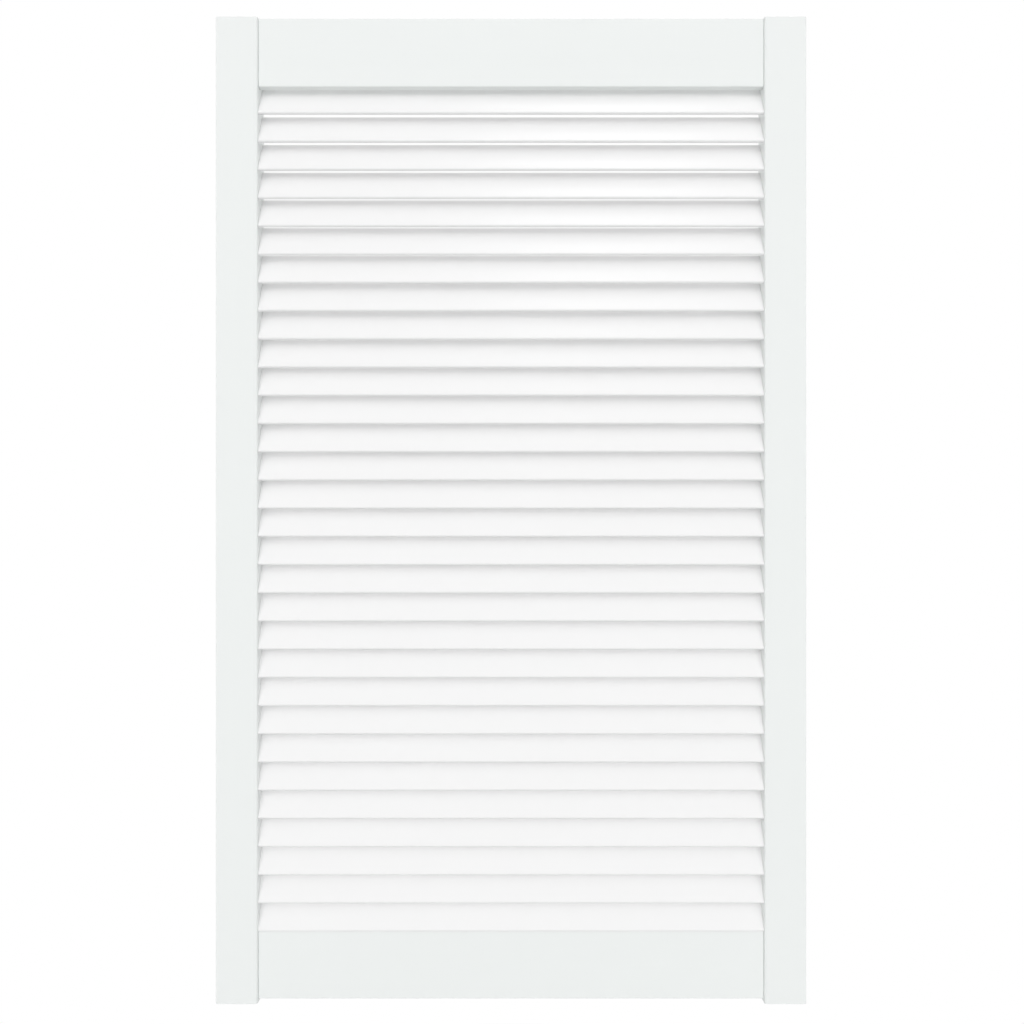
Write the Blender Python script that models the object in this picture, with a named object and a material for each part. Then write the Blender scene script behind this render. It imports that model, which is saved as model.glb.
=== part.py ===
"""Louvred wardrobe door leaf.

Two upright stiles and two cross rails make the frame. Fixed slanted slats fill the opening, and
their ends stand in blind slanted housings cut into the stiles. Pairs of hidden wooden dowels fasten
the rails to the stiles.

The leaf stands along +Z with its front towards -Y. The origin is the middle of its bottom edge.
"""

import math

import bmesh
import bpy
from mathutils import Matrix, Vector

# Driving dimensions of the leaf, in metres

DOOR_HEIGHT = 0.993
DOOR_WIDTH = 0.594
DOOR_THICKNESS = 0.021

# Stiles

STILE_WIDTH = 0.042
STILE_INNER_RADIUS = 0.002  # rounding of the two long edges beside the slats
ARRIS_EASE = 0.0008  # light rounding of the other long edges of stiles and rails

# Rails

RAIL_THICKNESS = 0.015
TOP_RAIL_HEIGHT = 0.069
TOP_RAIL_LIP = 0.0012  # rounding of the top rail's lower front edge
BOTTOM_RAIL_HEIGHT = 0.0675
BOTTOM_RAIL_LIFT = 0.0035  # the stile ends run on this far below the bottom rail

# Slats

SLAT_THICKNESS = 0.0035
SLAT_INSET = 0.002  # the slat edges stand this far inside the front and back of the stiles
SLAT_ANGLE = math.radians(65.0)  # slope from level, lower edge at the front
SLAT_GAP = 0.0084  # least clear space between two slats, square to their faces
SLAT_LAP = 0.0047  # reach of the first slat above the lower edge of the top rail
FIRST_SLAT_GAP = 0.0046  # clear space between the first slat and the bevel under the top rail
HOUSING_DEPTH = 0.008  # depth of the slat housings in the stiles

# Dowels

DOWEL_DIAMETER = 0.008
DOWEL_CHAMFER = 0.0008
DOWEL_STILE_DEPTH = 0.0305  # depth of a dowel hole in a stile
DOWEL_RAIL_DEPTH = 0.0302  # depth of a dowel hole in the end of a rail
DOWEL_EDGE_DISTANCE = 0.018  # dowel axis to the nearer long edge of its rail
DOWEL_LIP_DISTANCE = 0.028  # the same above the top rail's lower edge, clear of the bevel

# Clearances

RAIL_GAP = 0.0003  # rail end to stile
SLAT_FIT = 0.0003  # slat to housing and to the bottom rail, all round
DOWEL_FIT = 0.0003  # dowel to hole, on the radius
DOWEL_END_GAP = 0.0005  # dowel end to the bottom of its hole

# Facets

INNER_RADIUS_SEGMENTS = 4
EASE_SEGMENTS = 2
SLAT_EDGE_SEGMENTS = 6
DOWEL_SEGMENTS = 16
SMOOTH_ANGLE = math.radians(40.0)
AXIS_TOLERANCE = math.radians(2.5)  # most angle between an edge and an axis that it runs along

# Worked out from the driving dimensions

OPENING_WIDTH = DOOR_WIDTH - 2 * STILE_WIDTH
RAIL_LENGTH = OPENING_WIDTH - 2 * RAIL_GAP
TOP_RAIL_BOTTOM = DOOR_HEIGHT - TOP_RAIL_HEIGHT
BOTTOM_RAIL_TOP = BOTTOM_RAIL_LIFT + BOTTOM_RAIL_HEIGHT

SLAT_RADIUS = SLAT_THICKNESS / 2
SLAT_RUN = DOOR_THICKNESS - 2 * SLAT_INSET - SLAT_THICKNESS  # level, between the two edge centres
SLAT_RISE = SLAT_RUN * math.tan(SLAT_ANGLE)
SLAT_SPAN = SLAT_RUN / math.cos(SLAT_ANGLE)
SLAT_LENGTH = OPENING_WIDTH + 2 * (HOUSING_DEPTH - SLAT_FIT)

LAST_NOSE = BOTTOM_RAIL_TOP + SLAT_FIT + SLAT_RADIUS  # height of the lowest slat's front edge centre
FIRST_NOSE = TOP_RAIL_BOTTOM + SLAT_LAP - SLAT_RADIUS - SLAT_RISE
LEAST_PITCH = (SLAT_THICKNESS + SLAT_GAP) / math.cos(SLAT_ANGLE)
SLAT_STEPS = math.floor((FIRST_NOSE - LAST_NOSE) / LEAST_PITCH)
SLAT_PITCH = (FIRST_NOSE - LAST_NOSE) / SLAT_STEPS
SLAT_HEIGHTS = [FIRST_NOSE + SLAT_RISE / 2 - SLAT_PITCH * step for step in range(SLAT_STEPS + 1)]

DOWEL_HOLE_LENGTH = DOWEL_STILE_DEPTH + RAIL_GAP + DOWEL_RAIL_DEPTH
DOWEL_LENGTH = DOWEL_HOLE_LENGTH - 2 * DOWEL_END_GAP
DOWEL_X = OPENING_WIDTH / 2 + DOWEL_STILE_DEPTH - DOWEL_HOLE_LENGTH / 2
DOWEL_HEIGHTS = {
    "top_upper": DOOR_HEIGHT - DOWEL_EDGE_DISTANCE,
    "top_lower": TOP_RAIL_BOTTOM + DOWEL_LIP_DISTANCE,
    "bottom_upper": BOTTOM_RAIL_TOP - DOWEL_EDGE_DISTANCE,
    "bottom_lower": BOTTOM_RAIL_LIFT + DOWEL_EDGE_DISTANCE,
}

SIDES = {"left": -1, "right": 1}

# Finishes: linear colour, roughness

FRAME_WHITE = ((0.86, 0.885, 0.875), 0.35)
SLAT_WHITE = ((0.885, 0.885, 0.885), 0.28)
BEECH = ((0.62, 0.43, 0.26), 0.6)


def clear_scene():
    """Remove every object, so that the leaf stands alone."""
    for thing in list(bpy.data.objects):
        bpy.data.objects.remove(thing, do_unlink=True)


def make_finish(name, finish):
    """One Principled material from a colour and a roughness."""
    colour, roughness = finish
    material = bpy.data.materials.new(name)
    material.use_nodes = True
    shader = material.node_tree.nodes["Principled BSDF"]
    shader.inputs["Base Color"].default_value = (*colour, 1.0)
    shader.inputs["Roughness"].default_value = roughness
    shader.inputs["Metallic"].default_value = 0.0
    return material


def make_mesh(name, shape, material=None):
    """Turn a bmesh into a mesh whose faces point out, with its round parts shaded smooth."""
    bmesh.ops.recalc_face_normals(shape, faces=shape.faces)
    mesh = bpy.data.meshes.new(name)
    shape.to_mesh(mesh)
    shape.free()
    mesh.shade_smooth()
    mesh.set_sharp_from_angle(angle=SMOOTH_ANGLE)
    if material:
        mesh.materials.append(material)
    return mesh


def place(name, mesh, parent, location=(0, 0, 0), turn=0.0):
    """Put a mesh in the scene under its parent, turned about X."""
    thing = bpy.data.objects.new(name, mesh)
    thing.location = location
    thing.rotation_euler = (turn, 0, 0)
    thing.parent = parent
    bpy.context.scene.collection.objects.link(thing)
    return thing


def cut(piece, cutter):
    """Take a cutter's shape out of a piece."""
    cutter.hide_render = True
    cutter.display_type = "WIRE"
    hole = piece.modifiers.new(cutter.name, "BOOLEAN")
    hole.operation = "DIFFERENCE"
    hole.solver = "EXACT"
    hole.object = cutter


def box(low, high):
    """A box between two corners."""
    shape = bmesh.new()
    size = Vector(high) - Vector(low)
    middle = (Vector(high) + Vector(low)) / 2
    bmesh.ops.create_cube(shape, size=1.0, matrix=Matrix.Translation(middle) @ Matrix.Diagonal((*size, 1)))
    return shape


def edges_along(shape, axis):
    """The edges of a shape that run along one axis: 0 for X, 1 for Y, 2 for Z."""
    found = []
    for edge in shape.edges:
        start, end = edge.verts
        if abs((end.co - start.co).normalized()[axis]) > math.cos(AXIS_TOLERANCE):
            found.append(edge)
    return found


def round_edges(shape, edges, radius, segments):
    """Round some edges of a shape."""
    bmesh.ops.bevel(
        shape,
        geom=edges,
        offset=radius,
        offset_type="OFFSET",
        segments=segments,
        profile=0.5,
        affect="EDGES",
        clamp_overlap=True,
    )


def slat_shape(length, radius, turn_to=Matrix.Identity(4)):
    """A slat along X: a flat strip in the XY plane whose two long edges are half round."""
    shape = bmesh.new()
    outline = []
    for side in (1, -1):
        for step in range(SLAT_EDGE_SEGMENTS + 1):
            angle = side * (math.pi / 2 - math.pi * step / SLAT_EDGE_SEGMENTS)
            across = side * (SLAT_SPAN / 2 + radius * math.cos(angle))
            outline.append(shape.verts.new((-length / 2, across, radius * math.sin(angle))))
    end = shape.faces.new(outline)
    grown = bmesh.ops.extrude_face_region(shape, geom=[end])["geom"]
    far_end = [item for item in grown if isinstance(item, bmesh.types.BMVert)]
    bmesh.ops.translate(shape, verts=far_end, vec=(length, 0, 0))
    bmesh.ops.transform(shape, verts=shape.verts, matrix=turn_to)
    return shape


def join_shapes(shapes):
    """Gather separate closed shapes in one bmesh."""
    whole = bmesh.new()
    for shape in shapes:
        carrier = bpy.data.meshes.new("carrier")
        shape.to_mesh(carrier)
        shape.free()
        whole.from_mesh(carrier)
        bpy.data.meshes.remove(carrier)
    return whole


def dowel_shape(length, radius, place_at=Matrix.Identity(4)):
    """A round bar along X."""
    shape = bmesh.new()
    bmesh.ops.create_cone(
        shape,
        cap_ends=True,
        segments=DOWEL_SEGMENTS,
        radius1=radius,
        radius2=radius,
        depth=length,
        matrix=place_at @ Matrix.Rotation(math.pi / 2, 4, "Y"),
    )
    return shape


def make_slat_housings(side_name, parent):
    """The cutter for one stile's slat housings: every slat's end, larger by its fit."""
    reach = 2 * HOUSING_DEPTH
    middle_x = SIDES[side_name] * OPENING_WIDTH / 2
    lean = Matrix.Rotation(SLAT_ANGLE, 4, "X")
    shapes = []
    for height in SLAT_HEIGHTS:
        spot = Matrix.Translation((middle_x, 0, height)) @ lean
        shapes.append(slat_shape(reach, SLAT_RADIUS + SLAT_FIT, spot))
    name = f"housings_{side_name}"
    return place(name, make_mesh(name, join_shapes(shapes)), parent)


def make_dowel_holes(side_name, parent):
    """The cutter for the dowel holes on one side, through each rail end into the stile."""
    radius = DOWEL_DIAMETER / 2 + DOWEL_FIT
    shapes = []
    for height in DOWEL_HEIGHTS.values():
        spot = Matrix.Translation((SIDES[side_name] * DOWEL_X, 0, height))
        shapes.append(dowel_shape(DOWEL_HOLE_LENGTH, radius, spot))
    name = f"dowel_holes_{side_name}"
    return place(name, make_mesh(name, join_shapes(shapes)), parent)


def make_stile(side_name, finish, parent):
    """One upright: rounded beside the slats, lightly eased on its outer edges."""
    side = SIDES[side_name]
    middle_x = side * (DOOR_WIDTH - STILE_WIDTH) / 2
    low = (middle_x - STILE_WIDTH / 2, -DOOR_THICKNESS / 2, 0)
    high = (middle_x + STILE_WIDTH / 2, DOOR_THICKNESS / 2, DOOR_HEIGHT)
    shape = box(low, high)
    outer = [edge for edge in edges_along(shape, 2) if side * (edge.verts[0].co.x - middle_x) > 0]
    round_edges(shape, outer, ARRIS_EASE, EASE_SEGMENTS)
    inner = [edge for edge in edges_along(shape, 2) if side * (edge.verts[0].co.x - middle_x) < 0]
    round_edges(shape, inner, STILE_INNER_RADIUS, INNER_RADIUS_SEGMENTS)
    name = f"stile_{side_name}"
    return place(name, make_mesh(name, shape, finish), parent)


def lowest_front_edge(shape):
    """The edge along X that lies farthest down and to the front."""
    return min(edges_along(shape, 0), key=lambda edge: edge.verts[0].co.y + edge.verts[0].co.z)


def make_rail(name, bottom, height, finish, parent, lip=ARRIS_EASE, bevel=None):
    """One cross rail with eased long edges and a rounded lip, which is its lower front edge.

    A bevel is a plane, as a point and a normal, to trim to.
    """
    half = RAIL_THICKNESS / 2
    shape = box((-RAIL_LENGTH / 2, -half, bottom), (RAIL_LENGTH / 2, half, bottom + height))
    if bevel:
        point, normal = bevel
        everything = [*shape.verts, *shape.edges, *shape.faces]
        bmesh.ops.bisect_plane(shape, geom=everything, plane_co=point, plane_no=normal, clear_inner=True)
        bmesh.ops.holes_fill(shape, edges=[edge for edge in shape.edges if edge.is_boundary])
    lip_edge = lowest_front_edge(shape)
    others = [edge for edge in edges_along(shape, 0) if edge != lip_edge]
    round_edges(shape, others, ARRIS_EASE, EASE_SEGMENTS)
    round_edges(shape, [lowest_front_edge(shape)], lip, INNER_RADIUS_SEGMENTS)
    return place(name, make_mesh(name, shape, finish), parent)


def first_slat_plane():
    """The plane clear of the first slat's upper face that the top rail is bevelled to."""
    normal = Vector((0, -math.sin(SLAT_ANGLE), math.cos(SLAT_ANGLE)))
    middle = Vector((0, 0, SLAT_HEIGHTS[0]))
    return middle + normal * (SLAT_RADIUS + FIRST_SLAT_GAP), normal


def make_slats(finish, parent):
    """Every slat, from the top down. They share one mesh."""
    mesh = make_mesh("slat", slat_shape(SLAT_LENGTH, SLAT_RADIUS), finish)
    for number, height in enumerate(SLAT_HEIGHTS, start=1):
        place(f"slat_{number:02d}", mesh, parent, (0, 0, height), SLAT_ANGLE)


def make_dowels(finish, parent):
    """Two dowels in each corner of the frame. They share one mesh."""
    shape = dowel_shape(DOWEL_LENGTH, DOWEL_DIAMETER / 2)
    sides = edges_along(shape, 0)
    rims = [edge for edge in shape.edges if edge not in sides]
    round_edges(shape, rims, DOWEL_CHAMFER, 1)
    mesh = make_mesh("dowel", shape, finish)
    for side_name, side in SIDES.items():
        for spot, height in DOWEL_HEIGHTS.items():
            place(f"dowel_{spot}_{side_name}", mesh, parent, (side * DOWEL_X, 0, height))


def main():
    """Build the whole leaf."""
    clear_scene()
    leaf = place("louvred_door", None, None)
    frame_finish = make_finish("frame_lacquer", FRAME_WHITE)
    slat_finish = make_finish("slat_lacquer", SLAT_WHITE)
    dowel_finish = make_finish("dowel_beech", BEECH)

    rails = [
        make_rail("top_rail", TOP_RAIL_BOTTOM, TOP_RAIL_HEIGHT, frame_finish, leaf,
                  lip=TOP_RAIL_LIP, bevel=first_slat_plane()),
        make_rail("bottom_rail", BOTTOM_RAIL_LIFT, BOTTOM_RAIL_HEIGHT, frame_finish, leaf),
    ]
    for side_name in SIDES:
        stile = make_stile(side_name, frame_finish, leaf)
        cut(stile, make_slat_housings(side_name, leaf))
        dowel_holes = make_dowel_holes(side_name, leaf)
        for piece in (stile, *rails):
            cut(piece, dowel_holes)
    make_slats(slat_finish, leaf)
    make_dowels(dowel_finish, leaf)


main()
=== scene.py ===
"""Louvred wardrobe door: its visible surfaces, finishes and studio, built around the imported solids.

The leaf stands along +Z with its front towards -Y. Each surface is worked out with numpy from the boxes
of the solids, in metres, and stands where its solid stands.
"""

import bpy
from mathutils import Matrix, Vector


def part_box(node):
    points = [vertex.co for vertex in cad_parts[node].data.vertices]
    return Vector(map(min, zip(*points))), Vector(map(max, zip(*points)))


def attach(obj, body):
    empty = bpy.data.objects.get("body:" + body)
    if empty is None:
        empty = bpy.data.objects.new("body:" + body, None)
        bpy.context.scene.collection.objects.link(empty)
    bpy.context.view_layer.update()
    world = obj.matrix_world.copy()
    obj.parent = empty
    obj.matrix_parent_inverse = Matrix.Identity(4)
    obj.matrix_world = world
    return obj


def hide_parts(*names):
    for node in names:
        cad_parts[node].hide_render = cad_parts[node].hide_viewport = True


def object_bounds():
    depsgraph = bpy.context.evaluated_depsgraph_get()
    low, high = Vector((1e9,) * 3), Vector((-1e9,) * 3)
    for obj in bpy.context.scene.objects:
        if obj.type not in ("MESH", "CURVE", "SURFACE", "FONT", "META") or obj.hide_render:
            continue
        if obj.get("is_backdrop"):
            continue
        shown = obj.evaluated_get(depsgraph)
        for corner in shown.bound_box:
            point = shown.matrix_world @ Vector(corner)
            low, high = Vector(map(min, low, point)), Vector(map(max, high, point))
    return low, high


bl_info = {
    "name": "Louvred Wardrobe Door",
    "version": (1, 0, 0),
    "blender": (4, 5, 0),
    "location": "View3D > Sidebar > Louvred Door",
    "description": "Builds the stiles, rails, slats, dowels and studio of a louvred door",
    "category": "Object",
}

import math

import bmesh
import bpy
import numpy as np
from bpy.props import FloatProperty, FloatVectorProperty, IntProperty, PointerProperty

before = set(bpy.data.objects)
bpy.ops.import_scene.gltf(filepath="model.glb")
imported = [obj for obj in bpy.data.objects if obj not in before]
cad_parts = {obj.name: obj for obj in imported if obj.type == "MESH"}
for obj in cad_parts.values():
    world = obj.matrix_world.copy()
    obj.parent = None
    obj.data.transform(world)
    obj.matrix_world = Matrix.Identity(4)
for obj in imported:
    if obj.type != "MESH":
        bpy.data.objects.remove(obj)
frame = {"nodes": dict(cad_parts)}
CAD_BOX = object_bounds()

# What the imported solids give

BODY = "root"
SIDES = {"left": -1, "right": 1}
RAIL_ENDS = (-1, 1)
SLAT_NODES = sorted((name for name in frame["nodes"] if name.startswith("slat_")), reverse=True)
DOWEL_NODES = sorted(name for name in frame["nodes"] if name.startswith("dowel_"))


def node_box(node):
    """Lowest and highest corner of a solid, as arrays."""
    low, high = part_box(node)
    return np.array(low), np.array(high)


def node_middles(nodes):
    """The middle of each solid's box, one row each."""
    return np.array([np.mean(node_box(node), axis=0) for node in nodes])


SLAT_BOX = np.ptp(node_box(SLAT_NODES[0]), axis=0)
DOWEL_BOX = np.ptp(node_box(DOWEL_NODES[0]), axis=0)
STILE_LOW, STILE_HIGH = node_box("stile_right")

# How finely the surfaces are divided, and how closely their seams are joined

ARC_STEPS = 8
RIM_STEPS = 3
EDGE_STEPS = 4
CELL_UPRIGHT_STEPS = 8
CELL_CROSS_STEPS = 12
SLAT_STATIONS = 24
FLUTE_STEPS = 6
WELD = 2e-6
TINY = 1e-12
SHARP_ANGLE = math.radians(40.0)

# The attribute that marks rounded edges, and the seed of the slats' small differences

EDGE_ATTRIBUTE = "edge_share"
VARIATION_SEED = 7

# Places of a Mix node's colour sockets

MIX_FACTOR, MIX_A, MIX_B, MIX_RESULT = 0, 6, 7, 2


# Sizes and colours that a user would change

class LOUVRE_PG_frame(bpy.types.PropertyGroup):
    """The two stiles and the two rails."""

    inner_depth: FloatProperty(
        name="Inner depth", description="Depth of the soft rounding of the stile edges beside the slats",
        default=0.0016, min=0.0003, unit="LENGTH", precision=5)
    inner_width: FloatProperty(
        name="Inner width", description="Width of that rounding across the face of a stile",
        default=0.0020, min=0.0003, unit="LENGTH", precision=5)
    arris: FloatProperty(
        name="Arris", description="Light rounding of the other long edges",
        default=0.0008, min=0.0003, unit="LENGTH", precision=5)
    rail_lip: FloatProperty(
        name="Rail lip", description="Rounding of the top rail's lower front edge, over the first slat",
        default=0.0012, min=0.0003, unit="LENGTH", precision=5)
    slat_gap: FloatProperty(
        name="Slat gap", description="Space between the first slat and the bevel under the top rail",
        default=0.0046, min=0.0001, unit="LENGTH", precision=5)
    rail_fill: FloatProperty(
        name="Rail fill", description="How far filler raises the bottom rail to meet the last slat",
        default=0.0005, min=0.0, unit="LENGTH", precision=5)
    fill_edge: FloatProperty(
        name="Fill edge", description="Rounding of the filled edge under the last slat",
        default=0.0001, min=0.00002, unit="LENGTH", precision=5)
    end_ease: FloatProperty(
        name="End ease", description="Rounding of the sawn ends of stiles and rails",
        default=0.0003, min=0.0001, unit="LENGTH", precision=5)
    glue_line: FloatProperty(
        name="Glue line", description="Space between a rail's end and the stile that it is glued to",
        default=0.00005, min=0.00001, unit="LENGTH", precision=5)
    paint: FloatVectorProperty(
        name="Paint", description="White lacquer of the frame, very slightly cool",
        default=(0.86, 0.885, 0.875), min=0.0, max=1.0, size=3, subtype="COLOR")
    roughness: FloatProperty(
        name="Roughness", description="Roughness of the frame's satin lacquer",
        default=0.36, min=0.0, max=1.0, subtype="FACTOR")


class LOUVRE_PG_slats(bpy.types.PropertyGroup):
    """The slats and the housings that carry their ends."""

    thickness: FloatProperty(
        name="Thickness", description="Thickness of a slat, whose long edges are half round",
        default=0.0035, min=0.001, unit="LENGTH", precision=5)
    housing_fit: FloatProperty(
        name="Housing fit", description="Space between a slat and its painted-in housing",
        default=0.0001, min=0.00005, unit="LENGTH", precision=5)
    housing_rim: FloatProperty(
        name="Housing rim", description="Rounding of the mouth of a housing or dowel hole",
        default=0.0001, min=0.00002, unit="LENGTH", precision=5)
    end_gap: FloatProperty(
        name="End gap", description="Space between a slat's or dowel's end and the bottom of its pocket",
        default=0.0003, min=0.0001, unit="LENGTH", precision=5)
    bow: FloatProperty(
        name="Bow", description="Most that the middle of a slat stands out of straight",
        default=0.00012, min=0.0, unit="LENGTH", precision=5)
    twist: FloatProperty(
        name="Twist", description="Most that a slat turns between its middle and its ends",
        default=math.radians(0.08), min=0.0, subtype="ANGLE")
    paint: FloatVectorProperty(
        name="Paint", description="Neutral white lacquer of the slats",
        default=(0.885, 0.885, 0.885), min=0.0, max=1.0, size=3, subtype="COLOR")
    roughness: FloatProperty(
        name="Roughness", description="Roughness of the slats' lacquer",
        default=0.31, min=0.0, max=1.0, subtype="FACTOR")


class LOUVRE_PG_dowels(bpy.types.PropertyGroup):
    """The dowels that fasten the rails to the stiles."""

    flutes: IntProperty(
        name="Flutes", description="Glue grooves around a dowel", default=18, min=6)
    flute_depth: FloatProperty(
        name="Flute depth", description="Depth of a glue groove",
        default=0.0003, min=0.0, unit="LENGTH", precision=5)
    chamfer: FloatProperty(
        name="Chamfer", description="Rounding of a dowel's ends",
        default=0.0008, min=0.0001, unit="LENGTH", precision=5)
    hole_fit: FloatProperty(
        name="Hole fit", description="Space between a dowel and its hole, on the radius",
        default=0.0001, min=0.00005, unit="LENGTH", precision=5)
    wood: FloatVectorProperty(
        name="Wood", description="Bare turned beech",
        default=(0.62, 0.43, 0.26), min=0.0, max=1.0, size=3, subtype="COLOR")
    fleck: FloatVectorProperty(
        name="Fleck", description="The short dark rays in the beech",
        default=(0.36, 0.20, 0.10), min=0.0, max=1.0, size=3, subtype="COLOR")


class LOUVRE_PG_stage(bpy.types.PropertyGroup):
    """The floor, the light and the camera."""

    camera_distance: FloatProperty(
        name="Camera distance", description="From the camera to the front of the leaf",
        default=0.765, min=0.1, unit="LENGTH")
    camera_place: FloatVectorProperty(
        name="Camera place", description="How far right of the leaf's middle and above its foot it stands",
        default=(0.00096, 0.4948), size=2, unit="LENGTH")
    view_angle: FloatProperty(
        name="View angle", description="Angle of view across the picture",
        default=math.radians(67.87), subtype="ANGLE")
    floor_drop: FloatProperty(
        name="Floor drop", description="How far the floor lies below the leaf, which hangs clear of it",
        default=0.12, min=0.0, unit="LENGTH")
    floor_size: FloatProperty(
        name="Floor size", description="Length of each side of the floor",
        default=60.0, min=2.0, unit="LENGTH")
    floor_colour: FloatVectorProperty(
        name="Floor colour", description="Pale grey of the floor",
        default=(0.62, 0.62, 0.62), min=0.0, max=1.0, size=3, subtype="COLOR")
    floor_white: FloatProperty(
        name="Floor white", description="Share of plain white in the floor seen beside the leaf",
        default=0.55, min=0.0, max=1.0, subtype="FACTOR")
    floor_fade: FloatVectorProperty(
        name="Floor fade", description="Distances from the leaf between which the seen floor turns white",
        default=(0.03, 0.14), size=2, unit="LENGTH")
    broad_light: FloatProperty(
        name="Broad light", description="Strength of the broad soft light before and behind the leaf",
        default=2.06, min=0.0)
    round_light: FloatProperty(
        name="Round light", description="Strength of the light from the sides and from above",
        default=0.51, min=0.0)
    light_sideways: FloatProperty(
        name="Light sideways", description="How far the broad light reaches to the sides",
        default=math.radians(36.0), min=math.radians(5.0), max=math.radians(90.0), subtype="ANGLE")
    light_upwards: FloatProperty(
        name="Light upwards", description="How far the broad light reaches upwards and downwards",
        default=math.radians(66.0), min=math.radians(5.0), max=math.radians(90.0), subtype="ANGLE")
    light_fade: FloatProperty(
        name="Light fade", description="Softness of the broad light's edge, as a share of its reach",
        default=0.35, min=0.01, max=1.0, subtype="FACTOR")
    softbox_place: FloatVectorProperty(
        name="Softbox place", description="Where the overhead softbox hangs",
        default=(0.27, -0.49, 2.30), size=3, subtype="TRANSLATION")
    softbox_size: FloatVectorProperty(
        name="Softbox size", description="Width and depth of the overhead softbox",
        default=(0.62, 0.6), size=2, unit="LENGTH")
    softbox_power: FloatProperty(
        name="Softbox power", description="Power of the overhead softbox",
        default=2.4, min=0.0, unit="POWER")


class LOUVRE_PG_door(bpy.types.PropertyGroup):
    """Everything that can be set on the door and its stage."""

    frame: PointerProperty(
        name="Frame", description="The two stiles and the two rails", type=LOUVRE_PG_frame)
    slats: PointerProperty(
        name="Slats", description="The slats and their housings", type=LOUVRE_PG_slats)
    dowels: PointerProperty(
        name="Dowels", description="The dowels in the corners", type=LOUVRE_PG_dowels)
    stage: PointerProperty(
        name="Stage", description="The floor, the light and the camera", type=LOUVRE_PG_stage)


# Surfaces

class Skin:
    """Gathers grids of points into one closed mesh."""

    def __init__(self):
        self.points = []
        self.edge = []
        self.quads = []
        self.size = 0

    def add(self, grids, closed=False, edge=0.0):
        """Add one grid of points, or several alike, with a quad between each four neighbours.

        The last three axes are rows, columns and coordinates. In a closed grid the last column joins the
        first. The edge share says how near each point lies to the middle of a rounded edge.
        """
        rows, columns = grids.shape[-3:-1]
        points = grids.reshape(-1, 3)
        number = np.arange(rows * columns).reshape(rows, columns)
        beside = np.roll(number, -1, axis=1)
        last = columns if closed else columns - 1
        corners = (number[:-1, :last], beside[:-1, :last], beside[1:, :last], number[1:, :last])
        quads = np.stack(corners, axis=-1).reshape(-1, 4)
        starts = self.size + np.arange(0, len(points), rows * columns)
        self.quads.append((quads + starts[:, None, None]).reshape(-1, 4))
        self.points.append(points)
        self.edge.append(np.broadcast_to(edge, grids.shape[:-1]).ravel())
        self.size += len(points)

    def mesh(self, name, finish):
        """The welded mesh of all the grids, faces outwards, with its edge shares as an attribute."""
        points = np.concatenate(self.points)
        quads = np.concatenate(self.quads)
        mesh = bpy.data.meshes.new(name)
        mesh.vertices.add(len(points))
        mesh.vertices.foreach_set("co", points.ravel())
        mesh.loops.add(quads.size)
        mesh.loops.foreach_set("vertex_index", quads.ravel())
        mesh.polygons.add(len(quads))
        mesh.polygons.foreach_set("loop_start", np.arange(0, quads.size, 4))
        mesh.update(calc_edges=True)
        share = mesh.attributes.new(EDGE_ATTRIBUTE, "FLOAT", "POINT")
        share.data.foreach_set("value", np.concatenate(self.edge))
        weld(mesh)
        mesh.shade_smooth()
        mesh.set_sharp_from_angle(angle=SHARP_ANGLE)
        mesh.materials.append(finish)
        return mesh


def weld(mesh):
    """Join the seams and poles of a mesh and turn its faces outwards."""
    shape = bmesh.new()
    shape.from_mesh(mesh)
    bmesh.ops.remove_doubles(shape, verts=shape.verts, dist=WELD)
    bmesh.ops.recalc_face_normals(shape, faces=shape.faces)
    gaps = [edge for edge in shape.edges if not edge.is_manifold]
    shape.to_mesh(mesh)
    shape.free()
    if gaps:
        raise RuntimeError(f"{mesh.name} isn't closed: {len(gaps)} of its edges are open")


def show(name, skin, finish, slot, *nodes):
    """Put a finished piece in the scene in place of its solids."""
    piece = bpy.data.objects.new(name, skin.mesh(name, finish))
    bpy.context.scene.collection.objects.link(piece)
    level = piece.modifiers.new("level_faces", "WEIGHTED_NORMAL")
    level.keep_sharp = True
    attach(piece, BODY)
    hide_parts(*nodes)


def rounded_outline(corners, radii, steps, between=0):
    """Outline of a convex polygon with rounded corners: points, outward normals, edge shares.

    It runs anticlockwise. Each corner's arc turns evenly from one side's normal to the next about the
    point that lies one radius inside both sides. Points between the arcs divide each straight side
    evenly. The edge share is a half wave along the arc: 0 at its ends, 1 in its middle.
    """
    corners = np.asarray(corners, float)
    radii = np.asarray(radii, float)[:, None]
    side = np.roll(corners, -1, axis=0) - corners
    side /= np.linalg.norm(side, axis=1, keepdims=True)
    after = np.stack((side[:, 1], -side[:, 0]), axis=1)
    before = np.roll(after, 1, axis=0)
    centre = corners - radii * (before + after) / (1 + np.sum(before * after, axis=1, keepdims=True))
    start = np.arctan2(before[:, 1], before[:, 0])
    turn = np.mod(np.arctan2(after[:, 1], after[:, 0]) - start, 2 * math.pi)
    share = np.linspace(0, 1, steps + 1)
    angle = start[:, None] + turn[:, None] * share
    arc_normals = np.stack((np.cos(angle), np.sin(angle)), axis=-1)
    arcs = centre[:, None] + radii[:, None] * arc_normals
    arc_edge = np.broadcast_to(np.sin(math.pi * share), angle.shape)

    step = np.linspace(0, 1, between + 2)[1:-1, None]
    straights = arcs[:, -1:] + step * (np.roll(arcs[:, :1], -1, axis=0) - arcs[:, -1:])
    straight_normals = np.broadcast_to(after[:, None], straights.shape)
    points = np.concatenate((arcs, straights), axis=1).reshape(-1, 2)
    normals = np.concatenate((arc_normals, straight_normals), axis=1).reshape(-1, 2)
    edge = np.concatenate((arc_edge, np.zeros(straights.shape[:2])), axis=1).ravel()
    return points, normals, edge


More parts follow.
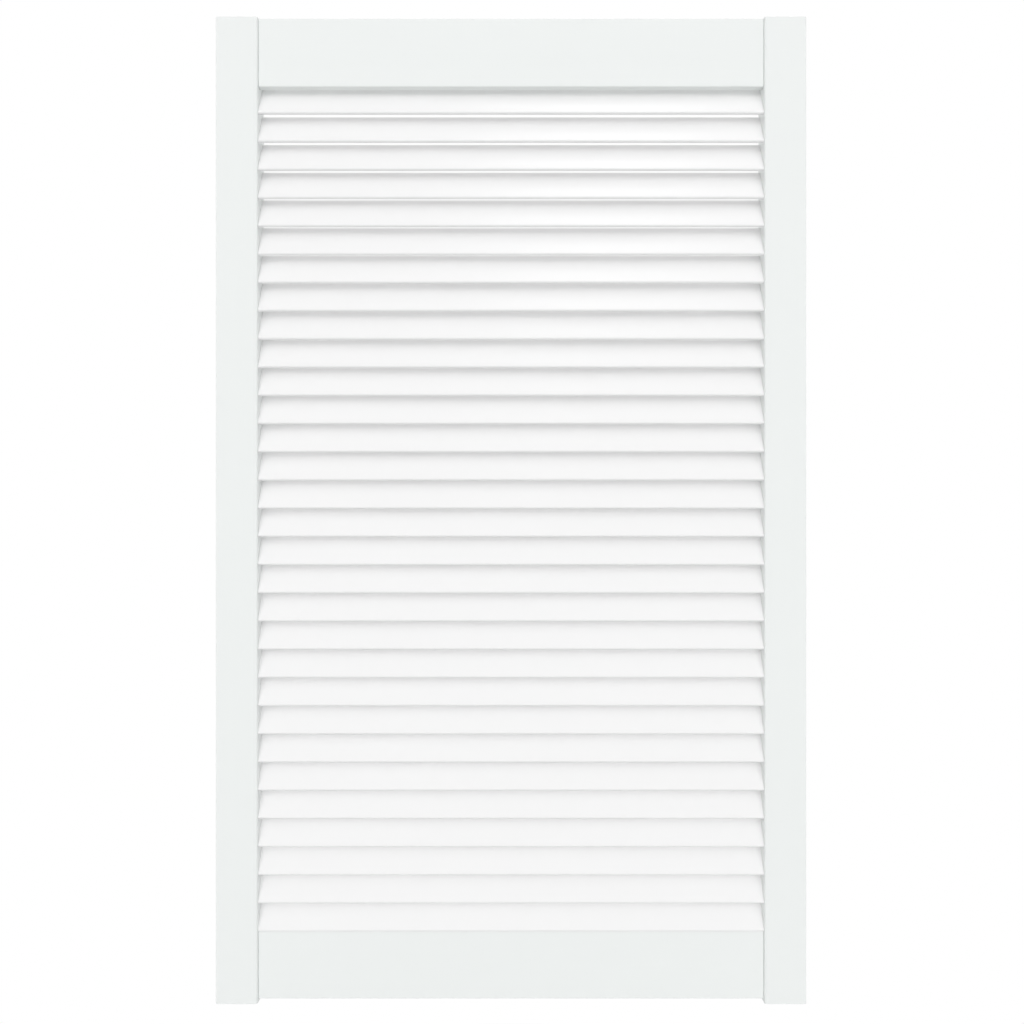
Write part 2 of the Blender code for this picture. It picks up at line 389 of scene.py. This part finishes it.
def eased_end(ease):
    """Rings of a rounded end, from the side to the end: how far drawn in, how far back, edge shares.

    The first two follow a quarter circle of the ease's radius.
    """
    angle = np.linspace(0, math.pi / 2, EDGE_STEPS + 1)
    return ease * (1 - np.cos(angle)), ease * (1 - np.sin(angle)), np.sin(2 * angle)


def carry(outline, length, ease, stations=0):
    """Carry an outline along a bar with rounded ends: distances along it, rings, edge shares.

    The rings follow the outline, drawn in along its normals where the ends are rounded.
    """
    points, normals, edge = outline
    drawn_in, back, end_edge = eased_end(ease)
    half = length / 2
    middle = np.linspace(-half + ease, half - ease, stations + 2)[1:-1]
    along = np.concatenate((-half + back[::-1], middle, half - back))
    inset = np.concatenate((drawn_in[::-1], np.zeros(stations), drawn_in))
    end = np.concatenate((end_edge[::-1], np.zeros(stations), end_edge))
    rings = points - inset[:, None, None] * normals
    return along, rings, np.maximum(edge, end[:, None])


def cell_outlines(low_front, high_front, low_back, high_back, reach):
    """Outlines of slanting cells on a stile's inner face, as across and up.

    Each runs clockwise from its low front corner. It has upright sides at the front and back and straight
    cross lines between them.
    """
    front = np.full_like(low_front, -reach)
    corners = np.stack((
        np.stack((front, low_front), axis=-1),
        np.stack((front, high_front), axis=-1),
        np.stack((-front, high_back), axis=-1),
        np.stack((-front, low_back), axis=-1),
    ), axis=1)
    side = np.roll(corners, -1, axis=1) - corners
    upright = np.arange(CELL_UPRIGHT_STEPS)[:, None] / CELL_UPRIGHT_STEPS
    cross = np.arange(CELL_CROSS_STEPS)[:, None] / CELL_CROSS_STEPS
    steps = (upright, cross, upright, cross)
    sides = [corners[:, k, None] + side[:, k, None] * step for k, step in enumerate(steps)]
    return np.concatenate(sides, axis=1)


def pockets(outlines, starts, ends, radii, depths, rim):
    """Cells with a round-ended pocket sunk in each: points as across and up, depths and edge shares.

    A cell's outline shrinks to its pocket's mouth, which lies one radius from the pocket's middle line
    in the direction of each outline point. It turns over the rounded rim by a quarter circle, runs down
    the wall and closes on the middle of the bottom.
    """
    line = ends - starts
    squared = np.maximum(np.sum(line * line, axis=1), TINY)
    share = np.sum((outlines - starts[:, None]) * line[:, None], axis=2) / squared[:, None]
    foot = starts[:, None] + np.clip(share, 0, 1)[..., None] * line[:, None]
    away = outlines - foot
    away /= np.linalg.norm(away, axis=2, keepdims=True)

    turn = np.linspace(0, math.pi / 2, RIM_STEPS + 1)
    count = len(outlines)
    mouth = radii[:, None] + rim * (1 - np.sin(turn))
    reach = np.concatenate((mouth, radii[:, None]), axis=1)
    over_rim = np.broadcast_to(rim * (1 - np.cos(turn)), mouth.shape)
    sunk = np.concatenate((np.zeros((count, 1)), over_rim, depths[:, None], depths[:, None]), axis=1)
    inside = foot[:, None] + reach[:, :, None, None] * away[:, None]
    middle = np.broadcast_to(((starts + ends) / 2)[:, None, None], outlines[:, None].shape)
    points = np.concatenate((outlines[:, None], inside, middle), axis=1)
    edge = np.concatenate(([0.0], np.sin(2 * turn), [0.0, 0.0]))
    return points, sunk[:, :, None], edge[:, None]


def stack(*coordinates):
    """Coordinates of like grids joined into points."""
    return np.stack(np.broadcast_arrays(*coordinates), axis=-1)


# Slats

def slat_slope(thickness):
    """Slope of the slats, and the span between the centres of their two half-round edges.

    Less one thickness each way, a slat's box is the run and the rise between those centres.
    """
    run, rise = SLAT_BOX[1:] - thickness
    return math.atan2(rise, run), math.hypot(run, rise)


def slat_skin(middle, thickness, bow, twist):
    """One slat: a strip with half-round edges carried along X.

    Its bow is a parabola along the slat, and its twist grows evenly from the middle to the ends.
    """
    slope, span = slat_slope(thickness)
    radius = thickness / 2
    wide = span / 2 + radius
    corners = ((-wide, -radius), (wide, -radius), (wide, radius), (-wide, radius))
    outline = rounded_outline(corners, (radius,) * 4, ARC_STEPS)
    end_ease = radius / 2
    along, rings, _ = carry(outline, SLAT_BOX[0], end_ease, SLAT_STATIONS)
    edge = np.clip((np.abs(rings[..., 0]) - span / 2) / radius, 0, 1)
    rings = np.concatenate((rings[:1] * 0, rings, rings[:1] * 0))
    edge = np.concatenate((edge[:1], edge, edge[:1]))
    along = np.concatenate((along[:1], along, along[-1:]))[:, None]

    reach = 2 * along / SLAT_BOX[0]
    across = rings[..., 0]
    up = rings[..., 1] + bow * (1 - reach * reach)
    turn = slope + twist * reach
    y = middle[1] + across * np.cos(turn) - up * np.sin(turn)
    z = middle[2] + across * np.sin(turn) + up * np.cos(turn)
    skin = Skin()
    skin.add(stack(middle[0] + along, y, z), closed=True, edge=edge)
    return skin


class LOUVRE_OT_slats(bpy.types.Operator):
    """Build the slats, each with half-round edges and its own slight bow and twist"""

    bl_idname = "louvre.slats"
    bl_label = "Slats"

    def execute(self, context):
        slats = context.scene.louvre_door.slats
        finish = lacquer("slat_lacquer", slats.paint, slats.roughness, GRAIN_ACROSS)
        chance = np.random.default_rng(VARIATION_SEED)
        bows = chance.uniform(-slats.bow, slats.bow, len(SLAT_NODES))
        twists = chance.uniform(-slats.twist, slats.twist, len(SLAT_NODES))
        middles = node_middles(SLAT_NODES)
        for node, middle, bow, twist in zip(SLAT_NODES, middles, bows, twists):
            skin = slat_skin(middle, slats.thickness, bow, twist)
            show(f"painted_{node}", skin, finish, "slat_paint", node)
        return {"FINISHED"}


# Stiles

def stile_pockets(side_name, door):
    """Middle lines, radii and depths of the pockets in a stile's inner face, from the bottom up.

    The two dowel holes of the bottom rail come first, then the slat housings, then the top rail's holes.
    """
    slope, span = slat_slope(door.slats.thickness)
    slat_middles = node_middles(SLAT_NODES)[:, 1:]
    half_line = span / 2 * np.array((math.cos(slope), math.sin(slope)))
    dowels = [node for node in DOWEL_NODES if node.endswith(side_name)]
    dowel_middles = node_middles(dowels)[:, 1:]
    dowel_middles = dowel_middles[np.argsort(dowel_middles[:, 1])]
    low, high = np.split(dowel_middles, 2)

    starts = np.concatenate((low, slat_middles - half_line, high))
    ends = np.concatenate((low, slat_middles + half_line, high))
    slat_radius = np.full(len(slat_middles), door.slats.thickness / 2 + door.slats.housing_fit)
    dowel_radius = np.full(len(low), DOWEL_BOX[2] / 2 + door.dowels.hole_fit)
    radii = np.concatenate((dowel_radius, slat_radius, dowel_radius))

    inner = STILE_LOW[0]
    slat_reach = node_box(SLAT_NODES[0])[1][0] - inner + door.slats.end_gap
    dowel_reach = np.abs(node_box(dowels[0])).max(axis=0)[0] - inner + door.slats.end_gap
    slat_depth = np.full(len(slat_middles), slat_reach)
    dowel_depth = np.full(len(low), dowel_reach)
    depths = np.concatenate((dowel_depth, slat_depth, dowel_depth))
    return starts, ends, radii, depths


def stile_levels(starts, ends, slope, reach, ease):
    """Heights of the cross lines between the pockets, at the front and the back of a stile's inner face.

    Between two slats a cross line lies midway and parallel to them. Between two dowel holes it is level.
    The first and last lines are level too, at the ends of the stile.
    """
    middles = (starts + ends)[:, 1] / 2
    slanted = np.abs(starts - ends).max(axis=1) > TINY
    slat_middles = middles[slanted]
    pitch = np.diff(slat_middles).mean()
    between_slats = slat_middles[0] - pitch / 2 + pitch * np.arange(len(slat_middles) + 1)
    rise = reach * math.tan(slope)
    below = (ease, middles[:2].mean())
    above = (middles[-2:].mean(), STILE_HIGH[2] - ease)
    return [np.concatenate((below, between_slats + lift, above)) for lift in (-rise, rise)]


def stile_skin(side_name, door):
    """One stile: a rounded outline carried along Z, its inner face cells with a pocket in each.

    The arcs beside the inner face are widened into quarter ellipses. The rings of the shell slant with
    the cells: each rises evenly around the outline, from its height at the front of the inner face to its
    height at the back.
    """
    side = SIDES[side_name]
    settings = door.frame
    inner = STILE_LOW[0]
    width, thickness, height = STILE_HIGH - STILE_LOW
    half = thickness / 2
    corners = ((0, -half), (width, -half), (width, half), (0, half))
    radii = (settings.inner_depth, settings.arris, settings.arris, settings.inner_depth)
    points, normals, edge = rounded_outline(corners, radii, ARC_STEPS)
    wider = settings.inner_width / settings.inner_depth
    widen = np.where(points[:, :1] < settings.inner_depth, wider, 1.0)
    points[:, :1] *= widen
    normals[:, :1] /= widen
    normals /= np.linalg.norm(normals, axis=1, keepdims=True)
    reach = half - settings.inner_depth
    slope, _ = slat_slope(door.slats.thickness)
    starts, ends, pocket_radii, depths = stile_pockets(side_name, door)
    front, back = stile_levels(starts, ends, slope, reach, settings.end_ease)

    skin = Skin()
    outlines = cell_outlines(front[:-1], front[1:], back[:-1], back[1:], reach)
    flat, sunk, rim_edge = pockets(outlines, starts, ends, pocket_radii, depths, door.slats.housing_rim)
    skin.add(stack(side * (inner + sunk), flat[..., 0], flat[..., 1]), closed=True, edge=rim_edge)

    cells = len(starts)
    level = np.arange(cells * CELL_UPRIGHT_STEPS + 1) / CELL_UPRIGHT_STEPS
    front_rows = np.interp(level, np.arange(cells + 1), front)[:, None]
    back_rows = np.interp(level, np.arange(cells + 1), back)[:, None]
    run = np.concatenate(([0.0], np.cumsum(np.linalg.norm(np.diff(points, axis=0), axis=1))))
    rows = front_rows + (back_rows - front_rows) * run / run[-1]
    skin.add(stack(side * (inner + points[:, 0]), points[:, 1], rows), edge=edge)

    across = np.linspace(reach, -reach, CELL_CROSS_STEPS + 1)[1:-1]
    ring = np.concatenate((points, stack(0 * across, across)))
    ring_normals = np.concatenate((normals, np.broadcast_to((-1.0, 0.0), (len(across), 2))))
    ring_edge = np.concatenate((edge, 0 * across))
    drawn_in, lift, end_edge = eased_end(settings.end_ease)
    rings = ring - drawn_in[:, None, None] * ring_normals
    rings = np.concatenate((rings, np.broadcast_to((width / 2, 0.0), rings[:1].shape)))
    lift = np.concatenate((lift, lift[-1:]))[:, None]
    end_edge = np.maximum(ring_edge, np.concatenate((end_edge, [0.0]))[:, None])
    for z in (lift, height - lift):
        skin.add(stack(side * (inner + rings[..., 0]), rings[..., 1], z), closed=True, edge=end_edge)
    return skin


class LOUVRE_OT_stiles(bpy.types.Operator):
    """Build both stiles with their slat housings and dowel holes"""

    bl_idname = "louvre.stiles"
    bl_label = "Stiles"

    def execute(self, context):
        door = context.scene.louvre_door
        finish = lacquer("stile_lacquer", door.frame.paint, door.frame.roughness, GRAIN_UPRIGHT)
        for side_name in SIDES:
            skin = stile_skin(side_name, door)
            show(f"painted_stile_{side_name}", skin, finish, "frame_paint", f"stile_{side_name}")
        return {"FINISHED"}


# Rails

def rail_corners(node, door):
    """Corners of a rail's outline, as across and up, and their radii.

    The top rail is bevelled at its lower back edge, parallel to the first slat's upper face, and rounded
    at its lower front edge. The bottom rail is filled up to the last slat.
    """
    low, high = node_box(node)
    (front, bottom), (back, top) = low[1:], high[1:]
    slope, _ = slat_slope(door.slats.thickness)
    slat = node_middles(SLAT_NODES)[-1]
    clear = door.slats.thickness / 2 + door.frame.slat_gap
    height = slat[2] + clear / math.cos(slope)
    bevel_start = (bottom - height) / math.tan(slope)
    arris = door.frame.arris
    if front < bevel_start < back:
        bevel_end = height + back * math.tan(slope)
        corners = ((front, bottom), (bevel_start, bottom), (back, bevel_end), (back, top), (front, top))
        return corners, (door.frame.rail_lip, arris, arris, arris, arris)
    top += door.frame.rail_fill
    corners = ((front, bottom), (back, bottom), (back, top), (front, top))
    return corners, (arris, arris, arris, door.frame.fill_edge)


def rail_skin(node, door):
    """One rail: a rounded outline carried along X, with two dowel holes in each end.

    Each end is cut across, from the middle of its front to the middle of its back, into two cells with one
    hole in each. The front is the outline's last side, and the back is two sides before it.
    """
    settings = door.frame
    corners, radii = rail_corners(node, door)
    between = CELL_CROSS_STEPS + 1
    outline = rounded_outline(corners, radii, ARC_STEPS, between)
    per_side = ARC_STEPS + 1 + between
    middle_of_side = ARC_STEPS + 1 + between // 2
    front_middle = (len(corners) - 1) * per_side + middle_of_side
    back_middle = (len(corners) - 3) * per_side + middle_of_side
    outline = [np.roll(part, -front_middle, axis=0) for part in outline]
    split = (back_middle - front_middle) % len(outline[0])
    half_length = STILE_LOW[0] - settings.glue_line
    along, rings, edge = carry(outline, 2 * half_length, settings.end_ease, 1)
    skin = Skin()
    skin.add(stack(along[:, None], rings[..., 0], rings[..., 1]), closed=True, edge=edge)

    end = rings[-1]
    step = np.linspace(0, 1, CELL_CROSS_STEPS + 1)[1:-1, None]
    cross = end[split] + step * (end[0] - end[split])
    lower = np.concatenate((end[:split + 1], cross))
    upper = np.concatenate((end[split:], end[:1], cross[::-1]))
    spot = node.removesuffix("_rail")
    for cell, place in ((lower, "lower"), (upper, "upper")):
        dowel_low, dowel_high = node_box(f"dowel_{spot}_{place}_right")
        hole = ((dowel_low + dowel_high) / 2)[None, 1:]
        radius = np.array([DOWEL_BOX[2] / 2 + door.dowels.hole_fit])
        depth = np.array([half_length - dowel_low[0] + door.slats.end_gap])
        flat, sunk, rim_edge = pockets(cell[None], hole, hole, radius, depth, door.slats.housing_rim)
        for end_sign in RAIL_ENDS:
            skin.add(stack(end_sign * (half_length - sunk), flat[..., 0], flat[..., 1]), True, rim_edge)
    return skin


class LOUVRE_OT_rails(bpy.types.Operator):
    """Build the top and bottom rails with their dowel holes"""

    bl_idname = "louvre.rails"
    bl_label = "Rails"

    def execute(self, context):
        door = context.scene.louvre_door
        finish = lacquer("rail_lacquer", door.frame.paint, door.frame.roughness, GRAIN_ACROSS)
        for node in ("top_rail", "bottom_rail"):
            show(f"painted_{node}", rail_skin(node, door), finish, "frame_paint", node)
        return {"FINISHED"}


# Dowels

def dowel_skin(middle, settings):
    """One dowel along X: a circle with cosine flutes, its ends rounded by a quarter circle."""
    angle = np.linspace(0, 2 * math.pi, settings.flutes * FLUTE_STEPS, endpoint=False)
    outward = stack(np.cos(angle), np.sin(angle))
    groove = settings.flute_depth * np.maximum(np.cos(settings.flutes * angle), 0) ** 2
    points = (DOWEL_BOX[2] / 2 - groove)[:, None] * outward
    along, rings, edge = carry((points, outward, 0 * angle), DOWEL_BOX[0], settings.chamfer, 1)
    rings = np.concatenate((rings[:1] * 0, rings, rings[:1] * 0))
    edge = np.concatenate((edge[:1], edge, edge[-1:]))
    along = np.concatenate((along[:1], along, along[-1:]))[:, None]
    skin = Skin()
    skin.add(stack(middle[0] + along, middle[1] + rings[..., 0], middle[2] + rings[..., 1]), True, edge)
    return skin


class LOUVRE_OT_dowels(bpy.types.Operator):
    """Build the fluted dowels hidden in the corners of the frame"""

    bl_idname = "louvre.dowels"
    bl_label = "Dowels"

    def execute(self, context):
        dowels = context.scene.louvre_door.dowels
        finish = beech("dowel_beech", dowels)
        for node, middle in zip(DOWEL_NODES, node_middles(DOWEL_NODES)):
            show(f"fluted_{node}", dowel_skin(middle, dowels), finish, "dowel_wood", node)
        return {"FINISHED"}


# Finishes

GRAIN_ACROSS = (0.03, 1.0, 1.0)
GRAIN_UPRIGHT = (1.0, 1.0, 0.03)

# Noises in the lacquer, each as scale, detail and distortion

RINGS = (90.0, 3.0, 0.6)
PORES = (520.0, 2.0, 0.0)
PEEL = (760.0, 1.0, 0.0)
CLOUD = (7.0, 2.0, 0.0)

# Shares of those noises, and of the edges, in the lacquer's relief, tone and roughness

RELIEF_RINGS = 0.45
RELIEF_PORES = 0.30
RELIEF_PEEL = 0.25
TONE_CLOUD = 0.5
TONE_RINGS = 0.3
TONE_PORES = 0.2
TONE_THIN_PAINT = 0.5
ROUGH_CLOUD = 0.06
ROUGH_PEEL = 0.008
ROUGH_EDGE = 0.04

# How strong the lacquer's relief is, how far its colour varies, and how it bends light

RELIEF_STRENGTH = 0.20
RELIEF_DEPTH = 0.00006
DARKEST_PAINT = 0.985
LIGHTEST_PAINT = 1.012
LACQUER_IOR = 1.5

# The same for the beech: stretch, noises, shares, colour, relief and roughness

BEECH_DRAWN_OUT = (0.08, 1.0, 1.0)
BEECH_GRAIN = (700.0, 4.0, 0.8)
BEECH_SPECK = (2600.0, 1.0, 0.0)
FLECK_STARTS = 0.60
FLECK_FULL = 0.72
TONE_BEECH_GRAIN = 0.45
TONE_FLECK = 0.45
PALEST_BEECH = 1.08
RELIEF_FLECK = 0.5
BEECH_RELIEF_STRENGTH = 0.4
BEECH_RELIEF_DEPTH = 0.0001
BEECH_ROUGHNESS = 0.52
ROUGH_BEECH_GRAIN = 0.15


class Term:
    """A shader socket in Python arithmetic: each operator adds one Math node."""

    def __init__(self, tree, socket):
        self.tree = tree
        self.socket = socket

    def math(self, operation, first, second):
        """One Math node between two values."""
        return self.tree.node("ShaderNodeMath", {"operation": operation}, {0: first, 1: second})

    def __add__(self, other):
        return self.math("ADD", self, other)

    def __radd__(self, other):
        return self.math("ADD", other, self)

    def __sub__(self, other):
        return self.math("SUBTRACT", self, other)

    def __rsub__(self, other):
        return self.math("SUBTRACT", other, self)

    def __mul__(self, other):
        return self.math("MULTIPLY", self, other)

    def __rmul__(self, other):
        return self.math("MULTIPLY", other, self)


class Nodes:
    """A node tree that is written as expressions."""

    def __init__(self, owner):
        owner.use_nodes = True
        self.tree = owner.node_tree
        self.tree.nodes.clear()

    def node(self, kind, settings=None, inputs=None, output=0):
        """Add a node by its type, then its settings, then the values or links of its sockets."""
        made = self.tree.nodes.new(kind)
        for name, value in (settings or {}).items():
            setattr(made, name, value)
        for name, value in (inputs or {}).items():
            if isinstance(value, Term):
                self.tree.links.new(value.socket, made.inputs[name])
            else:
                made.inputs[name].default_value = value
        return Term(self, made.outputs[output]) if made.outputs else None

    def place(self):
        """Object coordinates, which are the door's own."""
        return self.node("ShaderNodeTexCoord", output="Object")

    def stretched(self, place, stretch):
        """Coordinates multiplied along each axis, which draws a pattern out where the factor is small."""
        return self.node("ShaderNodeVectorMath", {"operation": "MULTIPLY"}, {0: place, 1: stretch})

    def noise(self, place, scale, detail, distortion):
        """Cloudy noise between 0 and 1."""
        inputs = {"Vector": place, "Scale": scale, "Detail": detail, "Distortion": distortion}
        return self.node("ShaderNodeTexNoise", None, inputs)

    def tint(self, share, first, second):
        """A colour between two colours."""
        inputs = {MIX_FACTOR: share, MIX_A: (*first, 1.0), MIX_B: (*second, 1.0)}
        return self.node("ShaderNodeMix", {"data_type": "RGBA"}, inputs, MIX_RESULT)

    def surface(self, shader):
        """Send a shader to the material's output."""
        self.node("ShaderNodeOutputMaterial", None, {"Surface": shader})


def shade(colour, factor):
    """A colour made darker or lighter."""
    return tuple(min(part * factor, 1.0) for part in colour)


def lacquer(name, paint, roughness, grain):
    """White lacquer over softwood: faint grain, orange peel, and thin paint on the edges.

    The noises lie around a half, so away from the edges the roughness lies around the given one.
    """
    material = bpy.data.materials.new(name)
    nodes = Nodes(material)
    place = nodes.place()
    drawn = nodes.stretched(place, grain)
    rings = nodes.noise(drawn, *RINGS)
    pores = nodes.noise(drawn, *PORES)
    peel = nodes.noise(place, *PEEL)
    cloud = nodes.noise(place, *CLOUD)
    edge = nodes.node("ShaderNodeAttribute", {"attribute_name": EDGE_ATTRIBUTE}, output="Fac")

    relief = rings * RELIEF_RINGS + pores * RELIEF_PORES + peel * RELIEF_PEEL
    bump = {"Strength": RELIEF_STRENGTH, "Distance": RELIEF_DEPTH, "Height": relief}
    tone = cloud * TONE_CLOUD + rings * TONE_RINGS + pores * TONE_PORES - edge * peel * TONE_THIN_PAINT
    smoothest = roughness - (ROUGH_CLOUD + ROUGH_PEEL) / 2
    nodes.surface(nodes.node("ShaderNodeBsdfPrincipled", None, {
        "Base Color": nodes.tint(tone, shade(paint, DARKEST_PAINT), shade(paint, LIGHTEST_PAINT)),
        "Roughness": smoothest + cloud * ROUGH_CLOUD + peel * ROUGH_PEEL + edge * ROUGH_EDGE,
        "Normal": nodes.node("ShaderNodeBump", None, bump),
        "IOR": LACQUER_IOR,
    }))
    return material


def beech(name, dowels):
    """Bare beech: grain along the dowel, with short dark flecks that lie a little deeper."""
    material = bpy.data.materials.new(name)
    nodes = Nodes(material)
    place = nodes.place()
    drawn = nodes.stretched(place, BEECH_DRAWN_OUT)
    grain = nodes.noise(drawn, *BEECH_GRAIN)
    speck = nodes.noise(drawn, *BEECH_SPECK)
    dark = {"Value": speck, "From Min": FLECK_STARTS, "From Max": FLECK_FULL}
    fleck = nodes.node("ShaderNodeMapRange", None, dark)
    tone = grain * TONE_BEECH_GRAIN + fleck * TONE_FLECK
    relief = grain - fleck * RELIEF_FLECK
    bump = {"Strength": BEECH_RELIEF_STRENGTH, "Distance": BEECH_RELIEF_DEPTH, "Height": relief}
    nodes.surface(nodes.node("ShaderNodeBsdfPrincipled", None, {
        "Base Color": nodes.tint(tone, shade(dowels.wood, PALEST_BEECH), dowels.fleck),
        "Roughness": BEECH_ROUGHNESS + grain * ROUGH_BEECH_GRAIN,
        "Normal": nodes.node("ShaderNodeBump", None, bump),
    }))
    return material


# Stage

WHITE = (1.0, 1.0, 1.0, 1.0)
FLOOR_FADE_ACROSS = 0.35


def seen(nodes):
    """1 where the camera, a reflection or a view through glass meets it, 0 for light on the object."""
    camera = nodes.node("ShaderNodeLightPath", output="Is Camera Ray")
    glossy = nodes.node("ShaderNodeLightPath", output="Is Glossy Ray")
    through = nodes.node("ShaderNodeLightPath", output="Is Transmission Ray")
    return camera + glossy + through


def make_floor(stage):
    """A pale floor under the leaf, with its shadow. Away from the leaf it is seen as plain white.

    The white grows with the distance from the middle, measured shorter along the leaf than away from it.
    """
    material = bpy.data.materials.new("studio_floor")
    nodes = Nodes(material)
    matt = nodes.node("ShaderNodeBsdfDiffuse", None, {"Color": (*stage.floor_colour, 1.0)})
    white = nodes.node("ShaderNodeEmission", None, {"Color": WHITE, "Strength": 1.0})
    beside = nodes.stretched(nodes.place(), (FLOOR_FADE_ACROSS, 1.0, 0.0))
    distance = nodes.node("ShaderNodeVectorMath", {"operation": "LENGTH"}, {0: beside}, "Value")
    near, far = stage.floor_fade
    share = nodes.node("ShaderNodeMapRange", {"interpolation_type": "SMOOTHSTEP"}, {
        "Value": distance, "From Min": near, "From Max": far, "To Min": stage.floor_white, "To Max": 1.0})
    nodes.surface(nodes.node("ShaderNodeMixShader", None, {0: seen(nodes) * share, 1: matt, 2: white}))

    half = stage.floor_size / 2
    level = CAD_BOX[0].z - stage.floor_drop
    mesh = bpy.data.meshes.new("floor")
    corners = ((-half, -half, level), (half, -half, level), (half, half, level), (-half, half, level))
    mesh.from_pydata(corners, [], [(0, 1, 2, 3)])
    mesh.materials.append(material)
    floor = bpy.data.objects.new("floor", mesh)
    bpy.context.scene.collection.objects.link(floor)
    floor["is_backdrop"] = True


def make_light(stage):
    """Broad soft light before and behind, weaker light around it, and a soft lamp that makes the sheen.

    The broad light fades at the edge of an ellipse around the leaf's own Y direction. All of it is seen
    as plain white.
    """
    world = bpy.data.worlds.new("studio")
    nodes = Nodes(world)
    reach = (1 / math.sin(stage.light_sideways), 0.0, 1 / math.sin(stage.light_upwards))
    spread = nodes.stretched(nodes.place(), reach)
    off_axis = nodes.node("ShaderNodeVectorMath", {"operation": "LENGTH"}, {0: spread}, "Value")
    fade = {"Value": off_axis, "From Min": 1 - stage.light_fade, "From Max": 1 + stage.light_fade}
    outside = nodes.node("ShaderNodeMapRange", {"interpolation_type": "SMOOTHSTEP"}, fade)
    broad = nodes.node("ShaderNodeBackground", None, {"Color": WHITE, "Strength": stage.broad_light})
    around = nodes.node("ShaderNodeBackground", None, {"Color": WHITE, "Strength": stage.round_light})
    light = nodes.node("ShaderNodeMixShader", None, {0: outside, 1: broad, 2: around})
    plain = nodes.node("ShaderNodeBackground", None, {"Color": WHITE, "Strength": 1.0})
    mixed = nodes.node("ShaderNodeMixShader", None, {0: seen(nodes), 1: light, 2: plain})
    nodes.node("ShaderNodeOutputWorld", None, {"Surface": mixed})
    bpy.context.scene.world = world

    lamp = bpy.data.lights.new("overhead_softbox", "AREA")
    lamp.shape = "RECTANGLE"
    lamp.size, lamp.size_y = stage.softbox_size
    lamp.energy = stage.softbox_power
    softbox = bpy.data.objects.new("overhead_softbox", lamp)
    softbox.location = stage.softbox_place
    middle = (CAD_BOX[0] + CAD_BOX[1]) / 2
    softbox.rotation_euler = (middle - softbox.location).to_track_quat("-Z", "Y").to_euler()
    softbox.visible_diffuse = False
    bpy.context.scene.collection.objects.link(softbox)


def make_camera(stage):
    """A camera straight in front of the leaf."""
    lens = bpy.data.cameras.new("camera")
    lens.sensor_fit = "HORIZONTAL"
    lens.angle = stage.view_angle
    camera = bpy.data.objects.new("camera", lens)
    right, up = stage.camera_place
    camera.location = (right, CAD_BOX[0].y - stage.camera_distance, up)
    camera.rotation_euler = (math.pi / 2, 0.0, 0.0)
    bpy.context.scene.collection.objects.link(camera)
    bpy.context.scene.camera = camera


class LOUVRE_OT_stage(bpy.types.Operator):
    """Build the floor, the light and the camera"""

    bl_idname = "louvre.stage"
    bl_label = "Stage"

    def execute(self, context):
        stage = context.scene.louvre_door.stage
        make_floor(stage)
        make_light(stage)
        make_camera(stage)
        context.scene.view_settings.view_transform = "Standard"
        return {"FINISHED"}


# Panel and registration

OPERATORS = (LOUVRE_OT_stiles, LOUVRE_OT_rails, LOUVRE_OT_slats, LOUVRE_OT_dowels, LOUVRE_OT_stage)
SETTINGS = ("frame", "slats", "dowels", "stage")


class LOUVRE_PT_door(bpy.types.Panel):
    """Lists the door's pieces and their settings"""

    bl_idname = "LOUVRE_PT_door"
    bl_label = "Louvred Door"
    bl_space_type = "VIEW_3D"
    bl_region_type = "UI"
    bl_category = "Louvred Door"

    def draw(self, context):
        for operator in OPERATORS:
            self.layout.operator(operator.bl_idname)
        for name in SETTINGS:
            group = getattr(context.scene.louvre_door, name)
            box = self.layout.box()
            box.label(text=name.capitalize())
            for setting in group.__annotations__:
                box.prop(group, setting)


CLASSES = (
    LOUVRE_PG_frame, LOUVRE_PG_slats, LOUVRE_PG_dowels, LOUVRE_PG_stage, LOUVRE_PG_door,
    *OPERATORS, LOUVRE_PT_door,
)


def register():
    """Add the door's settings, operators and panel."""
    for kind in CLASSES:
        bpy.utils.register_class(kind)
    bpy.types.Scene.louvre_door = PointerProperty(type=LOUVRE_PG_door)


def unregister():
    """Take the door's settings, operators and panel away again."""
    del bpy.types.Scene.louvre_door
    for kind in reversed(CLASSES):
        bpy.utils.unregister_class(kind)


def main():
    """Build the door and its stage."""
    register()
    bpy.ops.louvre.stiles()
    bpy.ops.louvre.rails()
    bpy.ops.louvre.slats()
    bpy.ops.louvre.dowels()
    bpy.ops.louvre.stage()
    sizes = {"cad": CAD_BOX, "visual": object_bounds()}
    {name: [list(corner) for corner in box] for name, box in sizes.items()}


if __name__ == "__main__":
    main()
